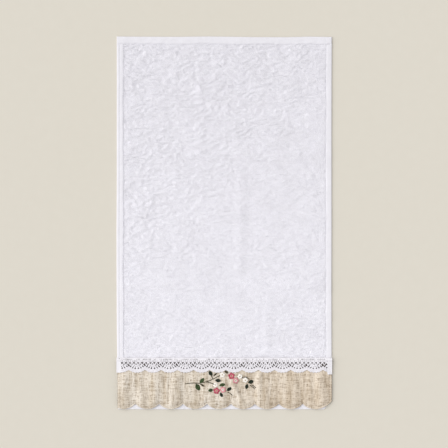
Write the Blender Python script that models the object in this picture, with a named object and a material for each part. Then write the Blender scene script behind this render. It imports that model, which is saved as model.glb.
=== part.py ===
"""A white terry hand towel lying flat, with a scalloped linen band and a lace trim at its lower end.

Units are metres and +Z is up. X runs across the towel and Y along it: the plain end is at +Y and the
banded end at -Y. The origin is the middle of the flat underside, on the surface the towel lies on.

Three cloth pieces lie on each other, a hair apart:
    terry_panel   the towel itself, hemmed on its sides and its plain end
    linen_band    the rippled band over the panel's lower end, with a scalloped lower edge
    lace_trim     the lobed strip that covers the band's upper edge
"""

import math

import bpy

# Overall size of the towel as it lies.
LENGTH = 0.700
WIDTH = 0.404
HALF_LENGTH = LENGTH / 2
HALF_WIDTH = WIDTH / 2
CLEARANCE = 0.0003

# Terry panel: a looped cloth, doubled in its hems.
TERRY_THICK = 0.0030
HEM_THICK = 0.0036
HEM_EDGE_THICK = 0.0020
HEM_STITCH_THICK = 0.0022
SIDE_HEM = 0.0105
END_HEM = 0.0140
HEM_ROLL = 0.0030
STITCH_HALF = 0.0015
TERRY_STEP = 0.024
CORNER_ROUNDING = 0.0012

# Linen band, flat along its upper edge and rippled below the lace.
LINEN_TOP_Y = -0.2543
LINEN_LEFT_X = -0.1998
LINEN_RIGHT_X = 0.2022
LINEN_THICK = 0.0010
LINEN_UNDER_Z = HEM_THICK + CLEARANCE
RIPPLES_START_Y = -0.270
RIPPLES_FULL_Y = -0.300
SCALLOP_CUSP_Y = -0.3402
SCALLOP_TIP_Y = -0.3492
SCALLOP_FIRST_CUSP_X = -0.1665
SCALLOP_PITCH = 0.0449
SCALLOP_CUSPS = 8
LAST_SCALLOP_END_Y = -0.3340
COLUMNS_PER_SCALLOP = 11
LINEN_ROWS = (0.0, 0.16, 0.30, 0.48, 0.74, 1.0)

# Lace trim, a row of lobes between two plain turned ends.
LACE_TOP_Y = -0.2528
LACE_LEFT_X = -0.2017
LACE_RIGHT_X = 0.2028
LACE_THICK = 0.0012
LACE_UNDER_Z = LINEN_UNDER_Z + LINEN_THICK + CLEARANCE
LACE_ARCH_Y = -0.2763
LACE_LOBE_Y = -0.2809
LACE_LEFT_END_Y = -0.2808
LACE_RIGHT_END_Y = -0.2843
LACE_FIRST_ARCH_X = -0.1787
LACE_PITCH = 0.03036
LACE_LOBES = 12
COLUMNS_PER_LOBE = 8
LACE_ROWS = (0.0, 0.45, 0.75, 1.0)

# How the panel's two side edges wander along its length, from the banded end to the plain end.
# y, left x, right x
PANEL_SIDES = (
    (-0.350, -0.1986, 0.1882),
    (-0.335, -0.1986, 0.1988),
    (-0.283, -0.1990, 0.2002),
    (-0.250, -0.2006, 0.2018),
    (-0.196, -0.2012, 0.2017),
    (-0.107, -0.2017, 0.2015),
    (-0.013, -0.2018, 0.2018),
    (0.081, -0.2013, 0.2017),
    (0.174, -0.2013, 0.2017),
    (0.269, -0.2012, 0.2019),
    (0.350, -0.2014, 0.2023),
)

# How far the plain end draws in along its width.
# x, inset
PANEL_END = (
    (-0.203, 0.0000),
    (-0.145, 0.0005),
    (-0.085, 0.0007),
    (-0.030, 0.0000),
    (0.062, 0.0012),
    (0.118, 0.0014),
    (0.160, 0.0003),
    (0.203, 0.0010),
)

# Soft ridges left in the panel by having been folded in three along its length and across its width.
# x at one end, y there, x at the other end, y there, height, half width
CREASES = (
    (-0.2200, 0.1228, 0.2200, 0.1248, 0.0006, 0.014),
    (-0.0751, 0.1238, 0.0120, 0.1243, 0.0012, 0.015),
    (0.0751, 0.1243, 0.1551, 0.1253, 0.0013, 0.015),
    (-0.2200, -0.1170, 0.2200, -0.1185, 0.0005, 0.014),
    (-0.2052, -0.1170, -0.0350, -0.1175, 0.0010, 0.015),
    (0.1001, -0.1180, 0.1952, -0.1185, 0.0011, 0.015),
    (0.0330, 0.1129, 0.0300, -0.1014, 0.0012, 0.015),
    (-0.0431, 0.3071, -0.0441, 0.1169, 0.0008, 0.014),
    (0.0811, -0.1595, 0.0806, -0.2496, 0.0010, 0.012),
    (0.0441, 0.3131, 0.0951, 0.2891, 0.0011, 0.018),
    (0.1261, 0.3401, 0.1501, 0.2911, 0.0010, 0.018),
)

# Lines of the panel's grid that follow the ridges: the ridge's middle, and its half width.
# middle, half width
RIDGE_ROWS = ((0.1240, 0.015), (-0.1173, 0.015))
RIDGE_COLUMNS = ((-0.0436, 0.014), (0.0315, 0.015), (0.0809, 0.012))

# Ripples that run down the band.
# x at the top, x at the lower edge, height, half width
RIPPLES = (
    (-0.1874, -0.1884, 0.0012, 0.013),
    (-0.1563, -0.1543, 0.0008, 0.012),
    (-0.1282, -0.1302, 0.0014, 0.014),
    (-0.0902, -0.0962, 0.0018, 0.021),
    (-0.0181, -0.0221, 0.0010, 0.038),
    (0.0682, 0.0722, 0.0013, 0.019),
    (0.1223, 0.1262, 0.0014, 0.027),
    (0.1823, 0.1813, 0.0013, 0.017),
)


def table_value(rows, at, column):
    """Reads a column of a table at a place between its rows, with straight runs from row to row."""
    if at <= rows[0][0]:
        return rows[0][column]
    for before, after in zip(rows, rows[1:]):
        if at <= after[0]:
            share = (at - before[0]) / (after[0] - before[0])
            return before[column] + share * (after[column] - before[column])
    return rows[-1][column]


def smooth_step(start, end, value):
    """Rises from 0 at start to 1 at end, level at both."""
    share = min(max((value - start) / (end - start), 0.0), 1.0)
    return share * share * (3.0 - 2.0 * share)


def soft_bump(distance, half_width):
    """A rounded bump, 1 in its middle and exactly 0 from half_width on."""
    share = min(abs(distance) / half_width, 1.0)
    return (1.0 - share * share) ** 2


def closed_sheet(name, columns, rows, plan, under, thickness, material):
    """Builds one closed sheet from a grid for its underside, a grid for its top and a wall round them.

    columns and rows are the grid's lines in the sheet's own plane. plan gives the place of a crossing
    on the surface, and under and thickness give the sheet's height and thickness at the crossing.
    """
    places = [(column, row) + plan(column, row) for row in rows for column in columns]
    verts = [(x, y, under(x, y)) for column, row, x, y in places]
    verts += [(x, y, under(x, y) + thickness(column, row)) for column, row, x, y in places]

    across, along, level = len(columns), len(rows), len(places)
    faces = []
    for row in range(along - 1):
        for column in range(across - 1):
            corner = row * across + column
            quad = (corner, corner + 1, corner + across + 1, corner + across)
            faces.append(tuple(reversed(quad)))
            faces.append(tuple(index + level for index in quad))

    rim = list(range(across - 1))
    rim += [row * across + across - 1 for row in range(along - 1)]
    rim += [(along - 1) * across + column for column in range(across - 1, 0, -1)]
    rim += [row * across for row in range(along - 1, 0, -1)]
    for start, end in zip(rim, rim[1:] + rim[:1]):
        faces.append((start, end, end + level, start + level))

    mesh = bpy.data.meshes.new(name)
    mesh.from_pydata(verts, [], faces)
    mesh.materials.append(material)
    mesh.validate()
    mesh.shade_smooth()
    mesh.set_sharp_from_angle(angle=math.radians(50))
    sheet = bpy.data.objects.new(name, mesh)
    bpy.context.scene.collection.objects.link(sheet)
    return sheet


def cloth_material(name, colour, roughness):
    """A plain matt cloth finish."""
    material = bpy.data.materials.new(name)
    material.use_nodes = True
    shader = material.node_tree.nodes["Principled BSDF"]
    shader.inputs["Base Color"].default_value = (*colour, 1.0)
    shader.inputs["Roughness"].default_value = roughness
    shader.inputs["Metallic"].default_value = 0.0
    return material


# ---- terry panel ----

def hem_lines(hem):
    """Distances from an edge at which a hem's thickness changes."""
    return (0.0, HEM_ROLL, hem - STITCH_HALF, hem, hem + STITCH_HALF)


def hem_profile(hem):
    """Thickness of the doubled cloth against the distance from the edge: rolled edge, then stitch line."""
    thicknesses = (HEM_EDGE_THICK, HEM_THICK, HEM_THICK, HEM_STITCH_THICK, TERRY_THICK)
    return tuple(zip(hem_lines(hem), thicknesses))


def ridge_lines(ridges, low, high, step):
    """Grid lines that are close together on each ridge and at an even step between the ridges."""
    lines = []
    for middle, half_width in ridges:
        lines += [middle + share * half_width for share in (-1.0, -0.5, 0.0, 0.5, 1.0)]
    stops = sorted([low] + lines + [high])
    filled = [low]
    for start, end in zip(stops, stops[1:]):
        cells = max(1, round((end - start) / step))
        filled += [start + (end - start) * cell / cells for cell in range(1, cells + 1)]
    return filled


def terry_columns():
    edge = hem_lines(SIDE_HEM)
    left = [-HALF_WIDTH + inset for inset in edge]
    right = [HALF_WIDTH - inset for inset in reversed(edge)]
    return left + ridge_lines(RIDGE_COLUMNS, left[-1], right[0], TERRY_STEP)[1:-1] + right


def terry_rows():
    low = [-HALF_LENGTH, -HALF_LENGTH + HEM_ROLL]
    high = [HALF_LENGTH - inset for inset in reversed(hem_lines(END_HEM))]
    return low + ridge_lines(RIDGE_ROWS, low[-1], high[0], TERRY_STEP)[1:-1] + high


def terry_plan(column, row):
    """Bends the straight grid to the panel's uneven outline and rounds its two upper corners a little."""
    left = table_value(PANEL_SIDES, row, 1)
    right = table_value(PANEL_SIDES, row, 2)
    x = left + (column + HALF_WIDTH) / WIDTH * (right - left)
    y = row - table_value(PANEL_END, column, 1) * smooth_step(0.30, HALF_LENGTH, row)
    if abs(column) >= HALF_WIDTH and row >= HALF_LENGTH:
        x -= math.copysign(CORNER_ROUNDING, column)
        y -= CORNER_ROUNDING
    return x, y


def crease_lift(x, y):
    """Height of the panel's underside over the surface: 0 except on the ridges."""
    lift = 0.0
    for start_x, start_y, end_x, end_y, height, half_width in CREASES:
        run_x, run_y = end_x - start_x, end_y - start_y
        length = math.hypot(run_x, run_y)
        along = ((x - start_x) * run_x + (y - start_y) * run_y) / length
        aside = ((x - start_x) * run_y - (y - start_y) * run_x) / length
        fade = smooth_step(0.0, half_width, along) * smooth_step(0.0, half_width, length - along)
        lift = max(lift, height * fade * soft_bump(aside, half_width))
    return lift


def terry_thickness(column, row):
    """The rim is rolled thin, the plain end's hem runs right across, and the side hems run up to it."""
    from_side, from_end = HALF_WIDTH - abs(column), HALF_LENGTH - row
    if min(from_side, from_end, HALF_LENGTH + row) < HEM_ROLL / 2:
        return HEM_EDGE_THICK
    if from_end < END_HEM + STITCH_HALF / 2:
        return table_value(hem_profile(END_HEM), from_end, 1)
    return table_value(hem_profile(SIDE_HEM), from_side, 1)


def make_terry_panel():
    material = cloth_material("terry_white", (0.80, 0.79, 0.84), 0.95)
    closed_sheet(
        "terry_panel", terry_columns(), terry_rows(), terry_plan, crease_lift, terry_thickness, material
    )


# ---- linen band ----

def arc_drop(share, chord, drop):
    """Depth below its chord of a circular arc, at a share of the way along the chord."""
    radius = (chord * chord / 4 + drop * drop) / (2 * drop)
    aside = (share - 0.5) * chord
    return math.sqrt(radius * radius - aside * aside) - (radius - drop)


def scallop_ends():
    """Ends of each scallop: the cusps, and at each side the end of the arc that the side edge cuts."""
    cusps = [
        (SCALLOP_FIRST_CUSP_X + number * SCALLOP_PITCH, SCALLOP_CUSP_Y) for number in range(SCALLOP_CUSPS)
    ]
    before = (SCALLOP_FIRST_CUSP_X - SCALLOP_PITCH, SCALLOP_CUSP_Y)
    return [before] + cusps + [(LINEN_RIGHT_X, LAST_SCALLOP_END_Y)]


def linen_lower_edge(x):
    """Y of the band's scalloped edge."""
    ends = scallop_ends()
    for (start_x, start_y), (end_x, end_y) in zip(ends, ends[1:]):
        if x <= end_x:
            share = (x - start_x) / (end_x - start_x)
            chord_y = start_y + share * (end_y - start_y)
            depth = (start_y + end_y) / 2 - SCALLOP_TIP_Y
            return chord_y - arc_drop(share, end_x - start_x, depth)
    return ends[-1][1]


def linen_columns():
    ends = [max(x, LINEN_LEFT_X) for x, y in scallop_ends()]
    columns = [ends[0]]
    for start, end in zip(ends, ends[1:]):
        cells = COLUMNS_PER_SCALLOP
        columns += [start + (end - start) * cell / cells for cell in range(1, cells + 1)]
    return columns


def linen_plan(column, row):
    return column, LINEN_TOP_Y + row * (linen_lower_edge(column) - LINEN_TOP_Y)


def ripple_lift(x, y):
    """Height of the ripples, nothing where the band is sewn down and full in its lower half."""
    strength = smooth_step(RIPPLES_START_Y, RIPPLES_FULL_Y, y)
    down = (LINEN_TOP_Y - y) / (LINEN_TOP_Y - SCALLOP_TIP_Y)
    lift = 0.0
    for top_x, bottom_x, height, half_width in RIPPLES:
        middle = top_x + down * (bottom_x - top_x)
        lift = max(lift, height * soft_bump(x - middle, half_width))
    return lift * strength


def make_linen_band():
    material = cloth_material("linen_natural", (0.64, 0.54, 0.43), 0.90)
    closed_sheet(
        "linen_band",
        linen_columns(),
        sorted(LINEN_ROWS, reverse=True),
        linen_plan,
        lambda x, y: LINEN_UNDER_Z + ripple_lift(x, y),
        lambda column, row: LINEN_THICK,
        material,
    )


# ---- lace trim ----

def lace_lower_edge(x):
    """Y of the lace's lobed edge: a plain turned end, a row of round lobes, and the other end."""
    last_arch_x = LACE_FIRST_ARCH_X + LACE_LOBES * LACE_PITCH
    if x < LACE_FIRST_ARCH_X:
        share = (x - LACE_LEFT_X) / (LACE_FIRST_ARCH_X - LACE_LEFT_X)
        return LACE_LEFT_END_Y + smooth_step(0.4, 1.0, share) * (LACE_ARCH_Y - LACE_LEFT_END_Y)
    if x > last_arch_x:
        share = (x - last_arch_x) / (LACE_RIGHT_X - last_arch_x)
        return LACE_ARCH_Y + smooth_step(0.0, 0.6, share) * (LACE_RIGHT_END_Y - LACE_ARCH_Y)
    share = ((x - LACE_FIRST_ARCH_X) / LACE_PITCH) % 1.0
    return LACE_ARCH_Y - arc_drop(share, LACE_PITCH, LACE_ARCH_Y - LACE_LOBE_Y)


def lace_columns():
    arches = [LACE_FIRST_ARCH_X + number * LACE_PITCH for number in range(LACE_LOBES + 1)]
    stops = [LACE_LEFT_X] + arches + [LACE_RIGHT_X]
    columns = [stops[0]]
    for start, end in zip(stops, stops[1:]):
        cells = COLUMNS_PER_LOBE
        columns += [start + (end - start) * cell / cells for cell in range(1, cells + 1)]
    return columns


def lace_plan(column, row):
    return column, LACE_TOP_Y + row * (lace_lower_edge(column) - LACE_TOP_Y)


def make_lace_trim():
    material = cloth_material("lace_white", (0.86, 0.86, 0.88), 0.85)
    closed_sheet(
        "lace_trim",
        lace_columns(),
        sorted(LACE_ROWS, reverse=True),
        lace_plan,
        lambda x, y: LACE_UNDER_Z + ripple_lift(x, y),
        lambda column, row: LACE_THICK,
        material,
    )


def clear_scene():
    for item in list(bpy.data.objects):
        bpy.data.objects.remove(item, do_unlink=True)


clear_scene()
make_terry_panel()
make_linen_band()
make_lace_trim()
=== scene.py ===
"""Looks of the hand towel: terry with its pile and hems, the linen band, the lace and the embroidery.

Everything is in metres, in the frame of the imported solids: the towel lies on z = 0 with its plain hemmed
end at +Y and its banded end at -Y. Each cloth is a closed sheet with a fine upper side, and threads are
tubes joined into one mesh a piece.
"""

import math

import bpy
import numpy as np
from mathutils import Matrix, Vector


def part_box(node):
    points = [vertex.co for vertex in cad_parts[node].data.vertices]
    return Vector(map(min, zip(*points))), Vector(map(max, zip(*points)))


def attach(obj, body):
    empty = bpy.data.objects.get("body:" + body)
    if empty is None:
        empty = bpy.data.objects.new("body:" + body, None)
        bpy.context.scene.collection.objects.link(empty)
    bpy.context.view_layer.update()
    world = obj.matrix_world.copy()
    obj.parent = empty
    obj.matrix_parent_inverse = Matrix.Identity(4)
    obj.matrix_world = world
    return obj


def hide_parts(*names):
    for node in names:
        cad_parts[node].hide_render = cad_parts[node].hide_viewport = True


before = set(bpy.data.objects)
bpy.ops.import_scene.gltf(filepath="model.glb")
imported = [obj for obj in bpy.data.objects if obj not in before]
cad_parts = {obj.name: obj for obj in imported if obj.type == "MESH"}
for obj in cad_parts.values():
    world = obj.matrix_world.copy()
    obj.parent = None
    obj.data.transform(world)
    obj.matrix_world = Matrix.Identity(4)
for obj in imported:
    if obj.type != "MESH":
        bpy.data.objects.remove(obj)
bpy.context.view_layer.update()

PANEL_LOW, PANEL_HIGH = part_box("terry_panel")
BAND_LOW, BAND_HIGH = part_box("linen_band")
LACE_LOW, LACE_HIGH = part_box("lace_trim")
MM = 0.001

# ---- sizes of the terry panel ----

PLAIN_END_Y = PANEL_HIGH.y
BANDED_END_Y = PANEL_LOW.y
# How the two side edges wander: y, left x, right x.
PANEL_SIDES = np.array((
    (-0.350, -0.1986, 0.1882),
    (-0.335, -0.1986, 0.1988),
    (-0.283, -0.1990, 0.2002),
    (-0.250, -0.2006, 0.2021),
    (-0.196, -0.2012, 0.2020),
    (-0.107, -0.2017, 0.2018),
    (-0.013, -0.2018, 0.2021),
    (0.081, -0.2013, 0.2020),
    (0.174, -0.2013, 0.2020),
    (0.269, -0.2012, 0.2022),
    (0.350, -0.2014, 0.2026),
))
# How far the plain end draws in: x, inset.
PANEL_END = np.array((
    (-0.203, 0.0000),
    (-0.145, 0.0005),
    (-0.085, 0.0007),
    (-0.030, 0.0000),
    (0.062, 0.0012),
    (0.118, 0.0014),
    (0.160, 0.0003),
    (0.203, 0.0010),
))
# Soft ridges: x and y at one end, x and y at the other, height, half width.
CREASES = (
    (-0.2200, 0.1228, 0.2200, 0.1248, 0.0006, 0.014),
    (-0.0751, 0.1238, 0.0120, 0.1243, 0.0012, 0.015),
    (0.0751, 0.1243, 0.1551, 0.1253, 0.0013, 0.015),
    (-0.2200, -0.1170, 0.2200, -0.1185, 0.0005, 0.014),
    (-0.2052, -0.1170, -0.0350, -0.1175, 0.0010, 0.015),
    (0.1001, -0.1180, 0.1952, -0.1185, 0.0011, 0.015),
    (0.0330, 0.1129, 0.0300, -0.1014, 0.0012, 0.015),
    (-0.0431, 0.3071, -0.0441, 0.1169, 0.0008, 0.014),
    (0.0811, -0.1595, 0.0806, -0.2496, 0.0010, 0.012),
    (0.0441, 0.3131, 0.0951, 0.2891, 0.0011, 0.018),
    (0.1261, 0.3401, 0.1501, 0.2911, 0.0010, 0.018),
)
LEFT_HEM = 0.0125
LEFT_HEM_SEAM = 0.0052
RIGHT_HEM = 0.0110
END_HEM = 0.0140
GROUND_THICK = 0.0021
PILE_HEIGHT = 0.0010
PILE_PITCH = 0.00183
TERRY_STEP = 0.0020
HEM_STEP = 0.0009
# Seeds of the hems' inner lines, which the cloth, its stitches and the pile share.
SIDE_SEAM_SEED = 81
LEFT_HEM_SEED = 31
RIGHT_HEM_SEED = 36
END_HEM_SEED = 41

# ---- sizes of the linen band ----

BAND_UNDER = BAND_LOW.z
BAND_THICK = 0.0010
SCALLOP_CUSP_Y = -0.3392
SCALLOP_TIP_Y = BAND_LOW.y
SCALLOP_FIRST_CUSP_X = -0.1665
SCALLOP_PITCH = 0.0449
SCALLOP_CUSPS = 8
LAST_SCALLOP_END_Y = -0.3340
RIPPLES_START_Y = -0.270
RIPPLES_FULL_Y = -0.300
BAND_EDGE_GROOVE = 0.0012
BAND_RIGHT_GROOVE = 0.0041
# Ripples down the band: x at the top, x at the lower edge, height, half width.
RIPPLES = (
    (-0.1874, -0.1884, 0.0012, 0.013),
    (-0.1563, -0.1543, 0.0008, 0.012),
    (-0.1282, -0.1302, 0.0014, 0.014),
    (-0.0902, -0.0962, 0.0018, 0.021),
    (-0.0181, -0.0221, 0.0010, 0.038),
    (0.0682, 0.0722, 0.0013, 0.019),
    (0.1223, 0.1262, 0.0014, 0.027),
    (0.1823, 0.1813, 0.0013, 0.017),
    (-0.1040, -0.1075, 0.0009, 0.008),
    (-0.0076, 0.0400, 0.0010, 0.009),
)
BAND_STEP = 0.00095

# ---- sizes of the lace ----

LACE_TOP_Y = LACE_HIGH.y
LACE_BASE = LACE_LOW.z
LACE_FIRST_ARCH_X = -0.1787
LACE_PITCH = 0.03036
LACE_LOBES = 12
LACE_ARCH_DEPTH = 0.0229
LACE_LOBE_DEPTH = 0.0277
LACE_STEP = 0.0005
LACE_THICK = 0.0007
# The linen is painted nearly black down to here, as painted shade under the lace, so that its holes look
# dark.
SHADE_END_Y = -0.2751

# ---- the view and the light ----

VIEW_WIDTH = 0.8412
VIEW_CENTRE_Y = -0.0021
CAMERA_HEIGHT = 5.0
SKY_STRENGTH = 0.72
SUN_STRENGTH = 2.17
SUN_DIRECTION = Vector((0.95, -0.26, -0.80))
SUN_ANGLE = math.radians(70.0)


# ======== small tools ========

def ease(share):
    """A smooth step, 0 up to a share of 0 and 1 from a share of 1."""
    share = np.clip(share, 0.0, 1.0)
    return share * share * (3.0 - 2.0 * share)


def noise(x, y, size_x, size_y, seed):
    """Smooth random heights from -1 to 1, in hills about size_x by size_y across."""
    table = np.random.default_rng(seed).uniform(-1.0, 1.0, (256, 256))
    u, v = x / size_x, y / size_y
    column, row = np.floor(u).astype(int), np.floor(v).astype(int)
    across, along = ease(u - column), ease(v - row)

    def at(column, row):
        return table[column % 256, row % 256]

    low = at(column, row) * (1 - across) + at(column + 1, row) * across
    high = at(column, row + 1) * (1 - across) + at(column + 1, row + 1) * across
    return low * (1 - along) + high * along


def soft_bump(distance, half_width):
    """1 at no distance, falling smoothly to 0 at half_width on both sides."""
    share = np.minimum(np.abs(distance) / half_width, 1.0)
    return (1.0 - share * share) ** 2


def make_piece(name, verts, faces, material, crisp=0):
    """Makes one mesh from an array of points and arrays of faces, smooth but for its last crisp faces."""
    mesh = bpy.data.meshes.new(name)
    loops = np.concatenate([part.ravel() for part in faces])
    sizes = np.concatenate([np.full(len(part), part.shape[1]) for part in faces])
    starts = np.concatenate([[0], np.cumsum(sizes)[:-1]])
    mesh.vertices.add(len(verts))
    mesh.vertices.foreach_set("co", np.asarray(verts, np.float32).ravel())
    mesh.loops.add(len(loops))
    mesh.loops.foreach_set("vertex_index", loops.astype(np.int32))
    mesh.polygons.add(len(sizes))
    mesh.polygons.foreach_set("loop_start", starts.astype(np.int32))
    mesh.polygons.foreach_set("use_smooth", np.arange(len(sizes)) < len(sizes) - crisp)
    mesh.update(calc_edges=True)
    mesh.validate()
    mesh.materials.append(material)
    lay_map(mesh)
    piece = bpy.data.objects.new(name, mesh)
    bpy.context.scene.collection.objects.link(piece)
    return piece


def lay_map(mesh):
    """Lays a map as seen from above, with the faces that look down beside the rest.

    It is leant over, so that upright faces keep some width.
    """
    count = len(mesh.loops)
    places = np.empty(len(mesh.vertices) * 3, np.float32)
    mesh.vertices.foreach_get("co", places)
    vertex = np.empty(count, np.int32)
    mesh.loops.foreach_get("vertex_index", vertex)
    corner = places.reshape(-1, 3)[vertex]
    normals = np.empty(len(mesh.polygons) * 3, np.float32)
    mesh.polygons.foreach_get("normal", normals)
    totals = np.empty(len(mesh.polygons), np.int32)
    mesh.polygons.foreach_get("loop_total", totals)
    down = np.repeat(normals.reshape(-1, 3)[:, 2] < -0.3, totals)
    flat = corner[:, :2] + 0.6 * corner[:, 2:]
    flat -= flat.min(0)
    flat /= flat.max() * 1.001
    flat[:, 0] = flat[:, 0] * 0.49 + np.where(down, 0.505, 0.0)
    layer = mesh.uv_layers.new(name="OFBake")
    layer.uv.foreach_set("vector", flat.astype(np.float32).ravel())


def sheet_mesh(name, columns, rows, place, under, over, coarse, material):
    """A closed sheet: its upper side has every grid line, its underside every coarse-th one.

    place turns grid lines into x and y, and under and over give the two heights there. The numbers of
    cells across and along are multiples of coarse.
    """
    across, along = len(columns), len(rows)
    grid_x, grid_y = place(*np.meshgrid(columns, rows))
    top = np.stack([grid_x, grid_y, over(grid_x, grid_y)], axis=2)
    low_x, low_y = grid_x[::coarse, ::coarse], grid_y[::coarse, ::coarse]
    bottom = np.stack([low_x, low_y, under(low_x, low_y)], axis=2)
    verts = np.concatenate([top.reshape(-1, 3), bottom.reshape(-1, 3)])

    upper = np.arange(across * along).reshape(along, across)
    lower = np.arange(low_x.size).reshape(low_x.shape) + upper.size
    quads = np.stack([upper[:-1, :-1], upper[:-1, 1:], upper[1:, 1:], upper[1:, :-1]], axis=2)
    under_quads = np.stack([lower[:-1, :-1], lower[1:, :-1], lower[1:, 1:], lower[:-1, 1:]], axis=2)

    walls = []
    sides = (
        (upper[0], lower[0]),
        (upper[:, -1], lower[:, -1]),
        (upper[-1, ::-1], lower[-1, ::-1]),
        (upper[::-1, 0], lower[::-1, 0]),
    )
    for above, below in sides:
        for cell in range(len(below) - 1):
            edge = above[cell * coarse:(cell + 1) * coarse + 1]
            walls.append(np.concatenate([below[cell:cell + 2], edge[::-1]]))
    faces = [quads.reshape(-1, 4), under_quads.reshape(-1, 4), np.array(walls)]
    return make_piece(name, verts, faces, material, crisp=len(walls))


def even_lines(start, end, step, coarse):
    """Evenly spaced grid lines about step apart, with a number of cells that coarse divides."""
    cells = max(1, round(abs(end - start) / step / coarse)) * coarse
    return np.linspace(start, end, cells + 1)


class Threads:
    """Gathers tubes with the same number of sides, and makes one mesh of them."""

    def __init__(self):
        self.verts, self.walls, self.ends, self.count = [], [], [], 0

    def add(self, paths, radius, sides=5):
        """Adds tubes, whose paths are (tubes, points, 3), or one tube, whose path is (points, 3)."""
        paths = np.asarray(paths, float)
        if paths.ndim == 2:
            paths = paths[None]
        tubes, steps = paths.shape[:2]
        run = np.gradient(paths, axis=1)
        run /= np.linalg.norm(run, axis=2, keepdims=True) + 1e-12
        aside = np.cross(run, (0.0, 0.0, 1.0))
        size = np.linalg.norm(aside, axis=2, keepdims=True)
        aside = np.where(size > 0.05, aside / np.maximum(size, 1e-9), (1.0, 0.0, 0.0))
        upward = np.cross(aside, run)
        turn = np.arange(sides) * 2 * math.pi / sides
        ring = (
            np.cos(turn)[:, None] * aside[:, :, None, :]
            + np.sin(turn)[:, None] * upward[:, :, None, :]
        )
        verts = paths[:, :, None, :] + radius * ring
        index = np.arange(tubes * steps * sides).reshape(tubes, steps, sides) + self.count
        after = np.roll(index, -1, axis=2)
        walls = np.stack([index[:, :-1], index[:, 1:], after[:, 1:], after[:, :-1]], axis=3)
        self.verts.append(verts.reshape(-1, 3))
        self.walls.append(walls.reshape(-1, 4))
        self.ends.append(index[:, 0, :])
        self.ends.append(index[:, -1, ::-1])
        self.count += index.size

    def build(self, name, material):
        faces = [np.concatenate(self.walls), np.concatenate(self.ends)]
        return make_piece(name, np.concatenate(self.verts), faces, material)


def line_points(points, step):
    """Points about step apart along a run of straight pieces."""
    points = np.asarray(points, float)
    lengths = np.linalg.norm(np.diff(points, axis=0), axis=1)
    along = np.concatenate([[0.0], np.cumsum(lengths)])
    at = np.linspace(0.0, along[-1], max(2, math.ceil(along[-1] / step) + 1))
    return np.stack([np.interp(at, along, points[:, axis]) for axis in range(points.shape[1])], axis=1)


# ======== heights of the cloths ========

def panel_left(y):
    return np.interp(y, PANEL_SIDES[:, 0], PANEL_SIDES[:, 1])


def panel_right(y):
    return np.interp(y, PANEL_SIDES[:, 0], PANEL_SIDES[:, 2])


def panel_end(x):
    return PLAIN_END_Y - np.interp(x, PANEL_END[:, 0], PANEL_END[:, 1])


def crease_lift(x, y):
    """Height of the panel's underside over the surface: 0 except on the soft ridges."""
    lift = np.zeros_like(x)
    for start_x, start_y, end_x, end_y, height, half_width in CREASES:
        run_x, run_y = end_x - start_x, end_y - start_y
        length = math.hypot(run_x, run_y)
        along = ((x - start_x) * run_x + (y - start_y) * run_y) / length
        aside = ((x - start_x) * run_y - (y - start_y) * run_x) / length
        fade = ease(along / half_width) * ease((length - along) / half_width)
        lift = np.maximum(lift, height * fade * soft_bump(aside, half_width))
    return lift


def clumps(x, y):
    """The pile lies in short wavy clumps, wider than they are long, and strongest in the upper left."""
    bent_x = x + 0.006 * noise(x, y, 0.026, 0.026, 11)
    bent_y = y + 0.006 * noise(x, y, 0.030, 0.022, 12)
    short = noise(bent_x, bent_y, 0.0090, 0.0036, 13)
    curled = noise(bent_x + bent_y, bent_y - bent_x, 0.0080, 0.0046, 14)
    fine = noise(bent_x, bent_y, 0.0042, 0.0022, 17)
    broad = noise(x, y, 0.040, 0.028, 15)
    strength = 1.10 + 0.50 * noise(x, y, 0.09, 0.08, 16) + 2.20 * ease((y - x + 0.05) / 0.35)
    height = strength * (0.00048 * short + 0.00019 * curled + 0.00027 * fine)
    return 0.0010 * np.tanh(height / 0.0010) + 0.00030 * broad


def seam_wander(along, seed):
    """How far a hem's inner line strays from its straight run."""
    slow = 0.0007 * noise(along, along * 0, 0.045, 1.0, seed)
    quick = 0.0003 * noise(along, along * 0, 0.012, 1.0, seed + 5)
    return slow + quick


def hem_height(distance, along, hem, seed, depth, full=1.0):
    """Thickness of a doubled edge at a distance from it: rolled, flat, then drawn in by stitches."""
    line = hem + seam_wander(along, seed)
    pull = 0.6 + 0.8 * noise(along, along * 0, 0.0055, 1.0, seed + 1)
    rolled = full * np.interp(distance, (0.0, 0.0004, 0.0012, 0.0045), (0.0019, 0.0026, 0.0029, 0.0031))
    past = ease((distance - line + 0.0008) / 0.0018)
    level = rolled * (1 - past) + GROUND_THICK * past
    groove = depth * np.clip(pull, 0.15, 1.2) * soft_bump(distance - line, 0.0026)
    pucker = 0.00022 * noise(along, distance, 0.0060, 0.012, seed + 2) * (1 - past)
    return level - groove + pucker


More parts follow.
